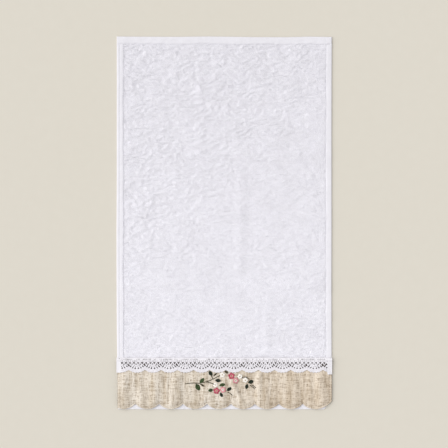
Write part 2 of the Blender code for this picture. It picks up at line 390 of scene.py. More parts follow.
def panel_over(x, y):
    """Top of the panel's ground cloth, without the pile."""
    left, right, end = x - panel_left(y), panel_right(y) - x, panel_end(x) - y
    left_hem = hem_height(left, y, LEFT_HEM, LEFT_HEM_SEED, 0.00020 + 0.00020 * ease(y / 0.20))
    seam = LEFT_HEM_SEAM + seam_wander(y, SIDE_SEAM_SEED) / 2
    left_hem = left_hem - 0.0004 * soft_bump(left - seam, 0.0016)
    right_hem = hem_height(right, y, RIGHT_HEM, RIGHT_HEM_SEED, 0.0008, 0.80)
    side_hem = np.where(left < right, left_hem, right_hem)
    end_hem = hem_height(end, x, END_HEM, END_HEM_SEED, 0.0014)
    in_end = ease((END_HEM + 0.0010 - end) / 0.0014)
    corner = side_hem + 0.0012 * ease(np.minimum(left, right) / 0.002)
    height = side_hem * (1 - in_end) + np.minimum(end_hem, corner) * in_end
    inside = ease((left - LEFT_HEM) / 0.004) * ease((right - RIGHT_HEM) / 0.004)
    inside = inside * ease((end - END_HEM) / 0.004)
    # The terry thins out at its banded end, and lies pressed under the lace and the band.
    banded = ease((y - BANDED_END_Y) / 0.0025)
    pressed = 1 - 0.40 * ease((LACE_TOP_Y - 0.004 - y) / 0.008) - 0.20 * ease((-0.326 - y) / 0.012)
    height = height * (0.45 + 0.55 * banded) * pressed
    return crease_lift(x, y) + height + clumps(x, y) * (0.20 + 0.80 * inside)


def scallop_edge(x):
    """Y of the band's scalloped edge: arcs between cusps, the outer ones cut by the side edges."""
    cusps = SCALLOP_FIRST_CUSP_X + SCALLOP_PITCH * np.arange(-1, SCALLOP_CUSPS)
    ends_x = np.append(cusps, BAND_HIGH.x)
    ends_y = np.append(np.full(len(cusps), SCALLOP_CUSP_Y), LAST_SCALLOP_END_Y)
    number = np.clip(np.searchsorted(ends_x, x) - 1, 0, len(ends_x) - 2)
    chord = ends_x[number + 1] - ends_x[number]
    share = (x - ends_x[number]) / chord
    chord_y = ends_y[number] + share * (ends_y[number + 1] - ends_y[number])
    drop = (ends_y[number] + ends_y[number + 1]) / 2 - SCALLOP_TIP_Y
    radius = (chord * chord / 4 + drop * drop) / (2 * drop)
    aside = (share - 0.5) * chord
    return chord_y - (np.sqrt(np.maximum(radius * radius - aside * aside, 0)) - (radius - drop))


def ripple_lift(x, y):
    """Height of the band's ripples: none where it is sewn down, full in its lower half."""
    strength = ease((y - RIPPLES_START_Y) / (RIPPLES_FULL_Y - RIPPLES_START_Y))
    down = (BAND_HIGH.y - y) / (BAND_HIGH.y - SCALLOP_TIP_Y)
    lift = np.zeros_like(x)
    for top_x, bottom_x, height, half_width in RIPPLES:
        middle = top_x + down * (bottom_x - top_x)
        lift = np.maximum(lift, height * soft_bump(x - middle, 0.85 * half_width))
    bent = x + 0.003 * noise(x, y, 0.03, 0.03, 55)
    gathers = 0.00040 * noise(bent, y, 0.0055, 0.024, 51) * soft_bump(y + 0.290, 0.032)
    waves = 0.00120 * noise(bent, y, 0.0090, 0.050, 56)
    return 2.0 * lift * strength + (gathers + waves) * ease((LACE_LOW.y + 0.008 - y) / 0.010)


def droop(x, y):
    """The band and the lace sink towards the terry along their sewn top and at the two sides."""
    left = np.maximum(x - BAND_LOW.x, 0.0)
    right = np.maximum(BAND_HIGH.x - x, 0.0)
    top = 0.0011 * soft_bump(np.maximum(LACE_TOP_Y - y, 0.0), 0.0140)
    below = ease((LACE_TOP_Y - 0.008 - y) / 0.008)
    side = 0.0004 * soft_bump(left, 0.0080)
    slope = (0.0010 + 0.0009 * below) * soft_bump(right, 0.0160) + 0.0003 * soft_bump(right, 0.0060)
    return np.maximum(top, np.maximum(side, slope))


def band_under(x, y):
    """Underside of the band: over the terry on its ripples, and lower along its scalloped edge."""
    edge = np.maximum(y - scallop_edge(x), 0.0)
    lift = np.maximum(ripple_lift(x, y), -0.0002) * (1 - 0.55 * soft_bump(edge, 0.0140))
    return BAND_UNDER + lift - np.maximum(droop(x, y), 0.0022 * soft_bump(edge, 0.0110))


def band_over(x, y):
    """Top of the band: its turned edge, stitch grooves, slubs, and small creases at its right end."""
    edge = y - scallop_edge(x)
    left, right = x - BAND_LOW.x, BAND_HIGH.x - x
    side = np.minimum(left, right)
    turned = 0.0004 * (1 - ease((edge - 0.0026) / 0.0010)) + 0.0007 * soft_bump(left - 0.0034, 0.0020)
    groove = np.maximum(
        0.00080 * soft_bump(edge - 0.0032, 0.0013),
        np.maximum(
            0.00090 * soft_bump(left - BAND_EDGE_GROOVE, 0.0012),
            0.00080 * soft_bump(right - BAND_RIGHT_GROOVE, 0.0013),
        ),
    )
    rounding = 0.0003 * (1 - ease(edge / 0.0010)) + 0.0001 * (1 - ease(side / 0.0010))
    slubs = 0.00008 * noise(x, y, 0.0016, 0.013, 52) + 0.00007 * noise(x, y, 0.011, 0.0016, 53)
    creases = 0.0008 * np.sin(y / 0.0010 + 2 * noise(x, y, 0.01, 0.01, 54))
    creases = creases * soft_bump(x - 0.195, 0.010) * soft_bump(y + 0.3335, 0.010)
    return band_under(x, y) + BAND_THICK + turned - groove - rounding + slubs + creases


# ======== materials ========

class Shader:
    """A Principled material with a few helpers for its nodes."""

    def __init__(self, name, roughness, sheen=0.0, specular=0.25):
        self.material = bpy.data.materials.new(name)
        self.material.use_nodes = True
        self.tree = self.material.node_tree
        self.main = self.tree.nodes["Principled BSDF"]
        self.main.inputs["Roughness"].default_value = roughness
        self.main.inputs["Specular IOR Level"].default_value = specular
        self.main.inputs["Sheen Weight"].default_value = sheen
        self.main.inputs["Sheen Roughness"].default_value = 0.6
        self.place = self.tree.nodes.new("ShaderNodeTexCoord").outputs["Object"]

    def node(self, kind, sources, values):
        """Adds a node, with sources linked to its inputs and values set on them."""
        node = self.tree.nodes.new(kind)
        for name, source in sources.items():
            self.tree.links.new(source, node.inputs[name])
        for name, value in values.items():
            node.inputs[name].default_value = value
        return node

    def scaled(self, across, along, upward=1.0):
        values = {"Scale": (across, along, upward)}
        return self.node("ShaderNodeMapping", {"Vector": self.place}, values).outputs["Vector"]

    def noise(self, vector, detail=2.0, roughness=0.5):
        values = {"Scale": 1.0, "Detail": detail, "Roughness": roughness}
        return self.node("ShaderNodeTexNoise", {"Vector": vector}, values).outputs["Fac"]

    def mix(self, factor, low, high, start, end):
        """A colour between low and high, as the factor goes from start to end."""
        ramp = self.node("ShaderNodeValToRGB", {"Fac": factor}, {})
        ramp.color_ramp.elements[0].position = start
        ramp.color_ramp.elements[1].position = end
        ramp.color_ramp.elements[0].color = (*low, 1.0)
        ramp.color_ramp.elements[1].color = (*high, 1.0)
        return ramp.outputs["Color"]

    def share_along(self, axis, start, end):
        """How far along an axis a place is: 0 at start and 1 at end."""
        split = self.node("ShaderNodeSeparateXYZ", {"Vector": self.place}, {})
        values = {"From Min": start, "From Max": end}
        return self.node("ShaderNodeMapRange", {"Value": split.outputs[axis]}, values).outputs["Result"]

    def multiply(self, first, second):
        node = self.node("ShaderNodeMix", {}, {})
        node.data_type = "RGBA"
        node.blend_type = "MULTIPLY"
        node.inputs["Factor"].default_value = 1.0
        self.tree.links.new(first, node.inputs["A"])
        self.tree.links.new(second, node.inputs["B"])
        return node.outputs["Result"]

    def add(self, first, second):
        return self.node("ShaderNodeMath", {0: first, 1: second}, {}).outputs["Value"]

    def colour(self, source):
        self.tree.links.new(source, self.main.inputs["Base Color"])

    def bump(self, height, distance, strength=1.0):
        values = {"Distance": distance, "Strength": strength}
        node = self.node("ShaderNodeBump", {"Height": height}, values)
        self.tree.links.new(node.outputs["Normal"], self.main.inputs["Normal"])


def terry_material(name, low, high):
    """Cotton in soft patches and fine specks, with painted light that makes it a little lighter towards
    the lower left of the towel.
    """
    shader = Shader(name, 0.95, sheen=0.10)
    # Painted light: the colour grows lighter towards the lower left of the towel.
    slope = shader.node("ShaderNodeVectorMath", {0: shader.place}, {1: (-0.45, -1.0, 0.0)})
    slope.operation = "DOT_PRODUCT"
    patches = shader.noise(shader.scaled(22, 22))
    patches = shader.mix(shader.add(patches, slope.outputs["Value"]), low, high, 0.1, 0.9)
    specks = shader.noise(shader.scaled(650, 650), 3.0)
    specks = shader.mix(specks, (0.93, 0.93, 0.93), (1, 1, 1), 0.3, 0.6)
    shader.colour(shader.multiply(patches, specks))
    shader.bump(shader.noise(shader.scaled(900, 900, 900), 2.0), 0.0004)
    return shader.material


def linen_material():
    """Linen of uneven yarns, slubs and blots, with painted shade: a little darker and warmer towards its
    right end, and nearly black under the lace.
    """
    shader = Shader("linen_natural", 0.88, sheen=0.1)
    warp = shader.noise(shader.scaled(800, 90), 3.0, 0.6)
    weft = shader.noise(shader.scaled(120, 800), 3.0, 0.6)
    warp_slubs = shader.noise(shader.scaled(300, 22), 2.0)
    weft_slubs = shader.noise(shader.scaled(40, 320), 2.0)
    yarns = shader.mix(shader.add(warp, weft), (0.27, 0.20, 0.135), (0.77, 0.70, 0.608), 0.70, 1.0)
    slubs = shader.mix(shader.add(warp_slubs, weft_slubs), (0.72, 0.68, 0.63), (1, 1, 1), 0.80, 1.0)
    blots = shader.noise(shader.scaled(85, 16), 2.0)
    blots = shader.mix(blots, (0.80, 0.765, 0.71), (1, 1, 1), 0.35, 0.6)
    # Painted shade: the linen is coloured nearly black where the lace covers it, so the lace's holes look
    # dark.
    shade = shader.share_along("Y", SHADE_END_Y - 0.0004, SHADE_END_Y + 0.0004)
    shade = shader.mix(shade, (1, 1, 1), (0.10, 0.08, 0.08), 0.0, 1.0)
    # Painted shade: the linen is coloured a little darker and warmer towards its right end.
    painted_shade_right = shader.share_along("X", 0.0, BAND_HIGH.x)
    painted_shade_right = shader.mix(painted_shade_right, (1, 1, 1), (0.955, 0.915, 0.87), 0.0, 0.6)
    cloth = shader.multiply(shader.multiply(yarns, slubs), shader.multiply(blots, painted_shade_right))
    shader.colour(shader.multiply(cloth, shade))
    shader.bump(shader.add(warp, weft), 0.0006)
    return shader.material


def thread_material(name, dark, light, roughness=0.7, sheen=0.1, specular=0.3):
    """A spun or stranded thread: its colour and surface vary along fine fibres."""
    shader = Shader(name, roughness, sheen, specular)
    shader.colour(shader.mix(shader.noise(shader.scaled(500, 500, 500), 3.0), dark, light, 0.3, 0.7))
    shader.bump(shader.noise(shader.scaled(1500, 1500, 1500), 2.0), 0.0002, 0.6)
    return shader.material


# ======== terry panel ========

def panel_place(column, row):
    """Where two grid lines of the panel cross, between its wandering sides and under its plain end."""
    left, right = panel_left(row), panel_right(row)
    share = (column - PANEL_LOW.x) / (PANEL_HIGH.x - PANEL_LOW.x)
    x = left + share * (right - left)
    y = row - np.interp(column, PANEL_END[:, 0], PANEL_END[:, 1]) * ease((row - 0.30) / 0.05)
    return x, y


def make_panel(material):
    """The terry's ground cloth, with narrow cells along its hems and wider ones between them."""
    coarse = 4
    side = 0.0144
    low_y = BANDED_END_Y + 0.0036
    high_y = PLAIN_END_Y - 0.0180
    rim = side * even_lines(0.0, 1.0, HEM_STEP / side, coarse) ** 1.3
    left = PANEL_LOW.x + rim
    middle = even_lines(PANEL_LOW.x + side, PANEL_HIGH.x - side, TERRY_STEP, coarse)
    right = PANEL_HIGH.x - rim[::-1]
    low = even_lines(BANDED_END_Y, low_y, HEM_STEP, coarse)
    body = even_lines(low_y, high_y, TERRY_STEP, coarse)
    high = even_lines(high_y, PLAIN_END_Y, HEM_STEP, coarse)
    columns = np.concatenate([left, middle[1:-1], right])
    rows = np.concatenate([low, body[1:-1], high])
    heights = (crease_lift, panel_over)
    return sheet_mesh("terry_cloth", columns, rows, panel_place, *heights, coarse, material)


def pile_places():
    """A jittered field of loops over the panel, off the hems and up to the lace."""
    rng = np.random.default_rng(7)
    lines_x = np.arange(PANEL_LOW.x, PANEL_HIGH.x, PILE_PITCH)
    lines_y = np.arange(LACE_TOP_Y - 0.0008, PLAIN_END_Y, PILE_PITCH)
    x, y = (grid.ravel() for grid in np.meshgrid(lines_x, lines_y))
    x = x + rng.uniform(-0.45, 0.45, len(x)) * PILE_PITCH
    y = y + rng.uniform(0.0, 0.9, len(y)) * PILE_PITCH
    spread = 0.0003 + 0.0012 * (1 - ease(y / 0.15))
    inside = x - panel_left(y) > LEFT_HEM + seam_wander(y, LEFT_HEM_SEED) - spread
    inside &= panel_right(y) - x > RIGHT_HEM + seam_wander(y, RIGHT_HEM_SEED) + 0.0006
    inside &= panel_end(x) - y > END_HEM + seam_wander(x, END_HEM_SEED) + 0.0006
    return x[inside], y[inside], rng


def make_pile(material):
    """Each loop is a small closed lozenge on the ground cloth that leans and turns its own way."""
    x, y, rng = pile_places()
    turn = rng.uniform(0, math.pi, len(x))
    lean_x = 0.0004 * noise(x, y, 0.007, 0.004, 61) + rng.uniform(-0.0003, 0.0003, len(x))
    lean_y = 0.0004 * noise(x, y, 0.007, 0.004, 62) + rng.uniform(-0.0003, 0.0003, len(x))
    share = 0.85 + 0.30 * noise(x, y, 0.0038, 0.0028, 63) + rng.uniform(-0.25, 0.2, len(x))
    height = PILE_HEIGHT * share
    reach = PILE_PITCH * rng.uniform(0.70, 0.95, len(x))
    corners = []
    for quarter, width in enumerate((1.0, 0.45, 1.0, 0.45)):
        angle = turn + quarter * math.pi / 2
        foot_x, foot_y = x + reach * width * np.cos(angle), y + reach * width * np.sin(angle)
        corners.append(np.stack([foot_x, foot_y, panel_over(foot_x, foot_y) - 0.0002], 1))
    corners.append(np.stack([x + lean_x, y + lean_y, panel_over(x, y) + height], 1))
    verts = np.stack(corners, axis=1)
    shape = np.array(((0, 1, 4), (1, 2, 4), (2, 3, 4), (3, 0, 4), (0, 3, 2), (0, 2, 1)))
    pieces = []
    for number, part in enumerate(np.array_split(np.arange(len(x)), 3)):
        faces = (np.arange(len(part))[:, None, None] * 5 + shape[None]).reshape(-1, 3)
        points = verts[part].reshape(-1, 3)
        pieces.append(make_piece(f"terry_pile_{number + 1}", points, [faces], material))
    return pieces


def stitch_row(threads, points, over, length, gap, radius):
    """Running stitches along a line, each a short tube that dips into the cloth at its ends."""
    line = line_points(points, length + gap)
    start, step = line[:-1], np.diff(line, axis=0)
    shares = np.array((0.0, 0.25, 0.75, 1.0)) * length / (length + gap)
    spots = start[:, None, :] + step[:, None, :] * shares[None, :, None]
    height = over(spots[..., 0], spots[..., 1]) + radius * np.array((-0.8, 0.7, 0.7, -0.8))
    threads.add(np.concatenate([spots, height[..., None]], axis=2), radius)


def make_hem_stitches(material):
    """Stitches along the inner line of each hem, and along a second line in the left one."""
    threads = Threads()
    ys = np.linspace(LACE_TOP_Y + 0.002, PLAIN_END_Y - END_HEM, 150)
    xs = np.linspace(PANEL_LOW.x + 0.003, PANEL_HIGH.x - 0.003, 120)
    seams = (
        (panel_left(ys) + LEFT_HEM_SEAM + seam_wander(ys, SIDE_SEAM_SEED) / 2, ys),
        (panel_left(ys) + LEFT_HEM + seam_wander(ys, LEFT_HEM_SEED), ys),
        (panel_right(ys) - RIGHT_HEM - seam_wander(ys, RIGHT_HEM_SEED), ys),
        (xs, panel_end(xs) - END_HEM - seam_wander(xs, END_HEM_SEED)),
    )
    for seam in seams:
        stitch_row(threads, np.stack(seam, 1), panel_over, length=0.0024, gap=0.0010, radius=0.00028)
    return threads.build("hem_stitches", material)


# ======== linen band ========

def make_band(material):
    """The band, with narrow cells along its rim. Its rows are shares of its depth."""
    coarse = 3
    depth = 0.095
    rim = 0.0086
    rim_row = 0.91
    rim_share = even_lines(0.0, 1.0, 1 / 9, coarse) ** 1.4
    left = BAND_LOW.x + rim * rim_share
    middle = even_lines(BAND_LOW.x + rim, BAND_HIGH.x - rim, BAND_STEP, coarse)
    right = BAND_HIGH.x - rim * rim_share[::-1]
    columns = np.concatenate([left, middle[1:-1], right])
    edge_rows = 1.0 - (1.0 - rim_row) * rim_share
    rows = np.concatenate([edge_rows, even_lines(rim_row, 0.0, BAND_STEP / depth, coarse)[1:]])

    def place(column, row):
        return column, BAND_HIGH.y + row * (scallop_edge(column) - BAND_HIGH.y)

    return sheet_mesh("linen_cloth", columns, rows, place, band_under, band_over, coarse, material)


def make_band_stitches(material):
    """Stitches along the turned scallops and down both ends of the band."""
    threads = Threads()
    xs = np.linspace(BAND_LOW.x + 0.004, BAND_HIGH.x - 0.004, 500)
    scallops = np.stack([xs, scallop_edge(xs) + 0.0032], 1)
    stitch_row(threads, scallops, band_over, length=0.0022, gap=0.0009, radius=0.00026)
    for x in (BAND_LOW.x + BAND_EDGE_GROOVE, BAND_HIGH.x - BAND_RIGHT_GROOVE):
        ends = ((x, LACE_LOW.y), (x, scallop_edge(np.array(x)) + 0.005))
        stitch_row(threads, ends, band_over, length=0.0022, gap=0.0009, radius=0.00022)
    return threads.build("band_stitches", material)


# ======== lace ========

def lace_floor(x, y):
    """Height of the lace's underside: over the linen, and down towards the terry along its top."""
    lift = np.maximum(ripple_lift(x, np.minimum(y, RIPPLES_START_Y)), 0.0)
    lift = np.where(y < RIPPLES_START_Y, lift, 0.0)
    dip = 0.0008 * soft_bump(np.maximum(LACE_TOP_Y - y, 0.0), 0.0040)
    return LACE_BASE + lift - dip - droop(x, y)


def lobe_depth(x):
    """Depth of the lace's outer edge below its top: round lobes between arches."""
    share = ((x - LACE_FIRST_ARCH_X) / LACE_PITCH) % 1.0
    chord, drop = LACE_PITCH, LACE_LOBE_DEPTH - LACE_ARCH_DEPTH
    radius = (chord * chord / 4 + drop * drop) / (2 * drop)
    aside = (share - 0.5) * chord
    return LACE_ARCH_DEPTH + np.sqrt(radius * radius - aside * aside) - (radius - drop)


def from_oval(u, v, across, along, degrees=0.0):
    """Distance from an oval hole, positive outside it. The oval's long axis leans by degrees."""
    turn = math.radians(degrees)
    first = u * math.cos(turn) + v * math.sin(turn)
    second = v * math.cos(turn) - u * math.sin(turn)
    return (np.hypot(first / across, second / along) - 1) * min(across, along)


def lace_cover(x, depth):
    """How far inside the lace's cloth a place is, in millimetres: negative in holes and outside."""
    end_strip = np.minimum(x - LACE_LOW.x - 0.0078, LACE_HIGH.x - 0.0088 - x)
    deep = np.where(x < 0, 0.0280, 0.0315)
    outline = np.where(end_strip > 0, lobe_depth(x), np.maximum(lobe_depth(x), deep))
    cover = np.minimum.reduce([outline - depth, depth, x - LACE_LOW.x, LACE_HIGH.x - x]) / MM

    across = (x - LACE_FIRST_ARCH_X) / MM
    pitch = LACE_PITCH / MM
    from_lobe = across % pitch - pitch / 2
    from_arch = (across + pitch / 2) % pitch - pitch / 2
    down = depth / MM
    small = pitch / 4
    from_third = (across - 2.5 + small / 2) % small - small / 2
    from_gap = (across - 2.5) % small - small / 2
    from_tick = (across + small / 4) % (small / 2) - small / 4
    from_rung = (across + small / 6) % (small / 3) - small / 6

    side = np.abs(from_lobe)
    # From the top down: a ladder, a row of ticks, triangles that point down, triangles that point up,
    # a diamond over each arch, and the leaves of the fans, outer ring first.
    holes = [
        from_oval(from_rung, down - 3.3, 0.41, 1.3),
        from_oval(from_tick, down - 6.35, 1.05, 0.62),
        np.maximum(8.5 - down, 0.87 * np.abs(from_third) + 0.5 * (down - 9.8) - 1.50),
        np.maximum(down - 13.7, 0.87 * np.abs(from_gap) - 0.5 * (down - 12.2) - 1.10),
        np.abs(from_arch) / 2.0 + np.abs(down - 14.4) / 2.1 - 1,
        from_oval(side - 11.6, down - 16.0, 1.45, 2.7, -42.0),
        from_oval(side - 7.9, down - 18.6, 1.35, 1.9, -35.0),
        from_oval(side - 3.0, down - 19.9, 1.4, 1.8, -14.0),
        from_oval(side - 5.3, down - 15.4, 0.75, 1.5, -38.0),
        from_oval(side - 1.7, down - 16.4, 0.70, 1.4, -12.0),
    ]
    open_part = np.minimum.reduce(holes) + 0.07 + 0.32 * noise(x, depth, 0.0034, 0.0030, 71)
    return np.minimum(cover, np.maximum(open_part, -end_strip / MM))


def woven_relief(x, depth):
    """Fine ridges of the lace's threads: along the trail in its rim, and straight down above it."""
    from_edge = (lobe_depth(x) - depth) / MM
    rim = np.cos(from_edge * 2 * math.pi / 1.15) * (from_edge < 7.0)
    fans = np.cos(x / MM * 2 * math.pi / 1.3) * (from_edge >= 7.0)
    return 0.00010 * (rim + fans)


def make_lace_cloth(material):
    """The lace's white parts, cut out of a grid along the smooth edges of its holes."""
    xs = np.arange(LACE_LOW.x - LACE_STEP, LACE_HIGH.x + 2 * LACE_STEP, LACE_STEP)
    depths = np.arange(-LACE_STEP, 0.0330, LACE_STEP)
    grid_x, grid_d = np.meshgrid(xs, depths)
    cover = lace_cover(grid_x, grid_d)
    cover[0], cover[-1], cover[:, 0], cover[:, -1] = -1, -1, -1, -1
    # No edge runs right through a corner of the grid.
    cover = np.where(np.abs(cover) < 0.02, 0.02, cover)
    inside = cover > 0

    share = cover[:, :-1] / (cover[:, :-1] - cover[:, 1:] + 1e-9)
    across = np.stack([grid_x[:, :-1] + share * LACE_STEP, grid_d[:, :-1]], 2)
    share = cover[:-1] / (cover[:-1] - cover[1:] + 1e-9)
    along = np.stack([grid_x[:-1], grid_d[:-1] + share * LACE_STEP], 2)
    corner = np.stack([grid_x, grid_d], 2)
    places = np.concatenate([corner.reshape(-1, 2), across.reshape(-1, 2), along.reshape(-1, 2)])
    corner_id = np.arange(grid_x.size).reshape(grid_x.shape)
    across_id = np.arange(across.shape[0] * across.shape[1]).reshape(across.shape[:2]) + grid_x.size
    along_id = np.arange(along.shape[0] * along.shape[1]).reshape(along.shape[:2]) + grid_x.size
    along_id += across_id.size

    ring = np.stack([inside[:-1, :-1], inside[1:, :-1], inside[1:, 1:], inside[:-1, 1:]], 2)
    full = ring.all(2)
    left, right = corner_id[:, :-1], corner_id[:, 1:]
    corners = np.stack([left[:-1], left[1:], right[1:], right[:-1]], 2)
    cuts = np.stack([along_id[:, :-1], across_id[1:], along_id[:, 1:], across_id[:-1]], 2)
    tops = {4: [corners[full]]}
    walls = []
    for row, column in np.argwhere(ring.any(2) & ~full):
        loop, cut = [], []
        for side in range(4):
            here, after = ring[row, column, side], ring[row, column, (side + 1) % 4]
            if here:
                loop.append(corners[row, column, side])
            if here != after:
                loop.append(cuts[row, column, side])
                cut.append((here, cuts[row, column, side]))
        tops.setdefault(len(loop), []).append(np.array([loop]))
        for number, (leaving, first) in enumerate(cut):
            if leaving:
                walls.append((first, cut[(number + 1) % len(cut)][1]))

    tops = [np.concatenate(part) for part in tops.values()]
    used = np.unique(np.concatenate([part.ravel() for part in tops]))
    renumber = np.zeros(len(places), int)
    renumber[used] = np.arange(len(used))
    places = places[used]
    tops = [renumber[part] for part in tops]
    walls = renumber[np.array(walls)]
    x, depth = places[:, 0], places[:, 1]
    low = lace_floor(x, LACE_TOP_Y - depth)
    high = low + LACE_THICK + woven_relief(x, depth)
    upper = np.stack([x, LACE_TOP_Y - depth, high], 1)
    lower = np.stack([x, LACE_TOP_Y - depth, low], 1)
    count = len(places)
    sides = np.stack([walls[:, 1], walls[:, 0], walls[:, 0] + count, walls[:, 1] + count], 1)
    faces = tops + [part[:, ::-1] + count for part in tops] + [sides]
    return make_piece("lace_cloth", np.concatenate([upper, lower]), faces, material, crisp=len(sides))


def lay_on(xs, depths, rise):
    """Points at a rise over the lace's underside, from their x and their depth below its top."""
    ys = LACE_TOP_Y - depths
    return np.stack([xs, ys, lace_floor(xs, ys) + rise], axis=-1)


def cord(threads, xs, depths, radius, rise=0.0008, twist=0.0032):
    """A two-ply cord: two strands that wind round each other along the same line."""
    run = np.concatenate([[0.0], np.cumsum(np.hypot(np.diff(xs), np.diff(depths)))])
    slope_x, slope_d = np.gradient(xs, run), np.gradient(depths, run)
    for start in (0.0, math.pi):
        turn = run / twist * 2 * math.pi + start
        aside = 0.5 * radius * np.cos(turn)
        path = lay_on(xs + aside * slope_d, depths - aside * slope_x, rise + 0.35 * radius * np.sin(turn))
        threads.add(path, radius * 0.6, sides=4)


def make_lace_cords(material):
    """Cords along the lace's top and trail, down its triangles and round its fans, and its picots."""
    threads = Threads()
    left, right = LACE_LOW.x + 0.0006, LACE_HIGH.x - 0.0006
    full = np.arange(left, right, 0.0010)
    for depth in (0.0008, 0.0054, 0.0074):
        cord(threads, full, np.full(len(full), depth), 0.00055)
    trail = np.arange(left + 0.0078, right - 0.0088, 0.0010)
    for offset in (0.0006, 0.0024, 0.0042, 0.0060):
        cord(threads, trail, lobe_depth(trail) - offset, 0.00055)
    last = LACE_FIRST_ARCH_X + LACE_LOBES * LACE_PITCH
    low, high = left + 0.008, right - 0.009
    for start in np.arange(LACE_FIRST_ARCH_X + 0.0025 - LACE_PITCH / 2, last + 0.008, LACE_PITCH / 4):
        for lean in (-1, 1):
            xs = start + lean * np.linspace(0.0001, LACE_PITCH / 8, 5)
            if xs.min() > low and xs.max() < high:
                cord(threads, xs, np.linspace(0.0132, 0.0078, 5), 0.00045)
    for lobe in range(-1, LACE_LOBES + 1):
        add_fan(threads, LACE_FIRST_ARCH_X + (lobe + 0.5) * LACE_PITCH, low, high)
    add_picots(threads)
    return threads.build("lace_cords", material)


def add_fan(threads, middle, low_x, high_x):
    """Seven spokes from a fan's root down to the trail, with rings woven through them near the root."""
    for spoke in range(-3, 4):
        foot_x = middle + spoke * 0.0046
        foot = lobe_depth(np.array(foot_x)) - 0.0070
        xs = np.linspace(middle + spoke * 0.0012, foot_x, 7)
        bow = 0.0018 * abs(spoke) / 3 * np.sin(np.linspace(0, math.pi, 7))
        if xs.min() > low_x and xs.max() < high_x:
            cord(threads, xs, np.linspace(0.0122, foot, 7) - bow, 0.00045)
    for reach in (0.0016, 0.0030, 0.0044):
        turn = np.linspace(-1.3, 1.3, 11)
        xs = middle + reach * 1.5 * np.sin(turn)
        if xs.min() > low_x and xs.max() < high_x:
            cord(threads, xs, 0.0125 + reach * np.cos(turn), 0.00045)


def add_picots(threads):
    """Small loops that stand out of the trail's outer edge."""
    for lobe in range(LACE_LOBES):
        for share in (0.24, 0.41, 0.59, 0.76):
            centre = LACE_FIRST_ARCH_X + (lobe + share) * LACE_PITCH
            turn = np.linspace(0, math.pi, 6)
            xs = centre + 0.0011 * np.cos(turn)
            depths = lobe_depth(xs) - 0.0002 + 0.0010 * np.sin(turn)
            threads.add(lay_on(xs, depths, 0.0005), 0.00040, sides=4)


# ======== embroidery ========

LEAF_GREEN = "leaf_green"
LEAF_DARK = "leaf_dark"
OLIVE = "stem_olive"
DEEP_PINK = "blossom_deep"
PALE_PINK = "blossom_pale"
CREAM = "blossom_cream"
KNOT = "knot_gold"

EMBROIDERY_COLOURS = {
    LEAF_GREEN: ((0.022, 0.042, 0.012), (0.070, 0.110, 0.035)),
    LEAF_DARK: ((0.006, 0.012, 0.006), (0.016, 0.028, 0.012)),
    OLIVE: ((0.040, 0.032, 0.014), (0.10, 0.080, 0.040)),
    DEEP_PINK: ((0.45, 0.05, 0.10), (0.66, 0.14, 0.20)),
    PALE_PINK: ((0.72, 0.28, 0.31), (0.86, 0.48, 0.50)),
    CREAM: ((0.90, 0.85, 0.79), (0.98, 0.96, 0.92)),
    KNOT: ((0.30, 0.20, 0.07), (0.50, 0.38, 0.16)),
}

# Leaves: x and y of the base, direction in degrees, length, width, colour. Millimetres.
LEAVES = (
    (-53, -301.5, -60, 14.0, 7.0, LEAF_GREEN),
    (-46, -301, 48, 12.5, 5.4, LEAF_GREEN),
    (-45, -302, -28, 9.0, 2.6, OLIVE),
    (-22, -287, 124, 10.5, 5.6, LEAF_DARK),
    (-20, -287, 36, 8.0, 2.4, OLIVE),
    (-17, -295, -6, 11.0, 5.4, LEAF_DARK),
    (1, -277, -38, 8.0, 4.0, OLIVE),
    (-9, -305, 12, 11.0, 5.0, LEAF_GREEN),
    (-20, -313, 190, 9.5, 4.8, LEAF_GREEN),
    (5, -315, 34, 10.5, 5.0, LEAF_DARK),
    (-7, -318, -66, 9.0, 4.6, LEAF_DARK),
    (45, -300, 18, 10.5, 6.0, LEAF_DARK),
    (44, -302, -104, 9.5, 5.0, LEAF_DARK),
)

# Stems: x and y at the start, x and y at the end, how far the middle bows to the left. Millimetres.
STEMS = (
    (-73, -302, -46, -301, 1.0),
    (-46, -301, -8, -286, -2.0),
    (-34, -298, -18, -303, 0.6),
    (-21, -292, -24, -285, 0.5),
    (33, -291, 47, -293, 3.0),
    (49, -305, 57, -311, 0.5),
    (52, -304, 59, -309, 0.5),
    (7, -318, 15, -323, 0.8),
)

# Blossoms: x and y of the middle, radius, turn in degrees, petal colour, heart colour. Millimetres.
BLOSSOMS = (
    (-14, -315, 6.6, 10, DEEP_PINK, PALE_PINK),
    (-2, -313, 6.2, 40, PALE_PINK, CREAM),
    (14, -287, 6.8, 25, DEEP_PINK, PALE_PINK),
    (22, -296, 6.3, 5, PALE_PINK, CREAM),
    (-3, -285, 5.6, 15, CREAM, CREAM),
    (-16, -304, 4.8, 50, CREAM, CREAM),
    (30, -288, 5.2, 30, CREAM, CREAM),
    (40, -295, 5.6, 0, CREAM, CREAM),
)


def satin(threads, starts, ends, arch=0.0004, radius=0.00027):
    """Flat stitches from starts to ends that lie side by side and rise a little in their middles."""
    shares = np.array((0.0, 0.3, 0.7, 1.0))
    spots = starts[:, None, :] + (ends - starts)[:, None, :] * shares[None, :, None]
    rise = arch * np.array((-0.3, 1.0, 1.0, -0.3)) + radius * 0.6
    height = band_over(spots[..., 0], spots[..., 1]) + rise
    threads.add(np.concatenate([spots, height[..., None]], axis=2), radius, sides=4)


def add_leaf(threads, x, y, degrees, length, width):
    """A pointed leaf of two rows of slanted stitches that meet in a middle vein."""
    turn = math.radians(degrees)
    axis = np.array((math.cos(turn), math.sin(turn)))
    side = np.array((-axis[1], axis[0]))
    base = np.array((x, y)) * MM
    count = int(length / 0.42)
    share = (np.arange(count) + 0.5) / count
    half = 0.62 * width * np.sin(math.pi * share ** 0.85) ** 0.8
    for way in (-1, 1):
        vein = base + np.outer(share * 0.92 * length * MM, axis)
        edge = base + np.outer(np.minimum(share + 0.10, 1.0) * length * MM, axis)
        edge = edge + np.outer(way * half * MM, side)
        satin(threads, vein, edge)


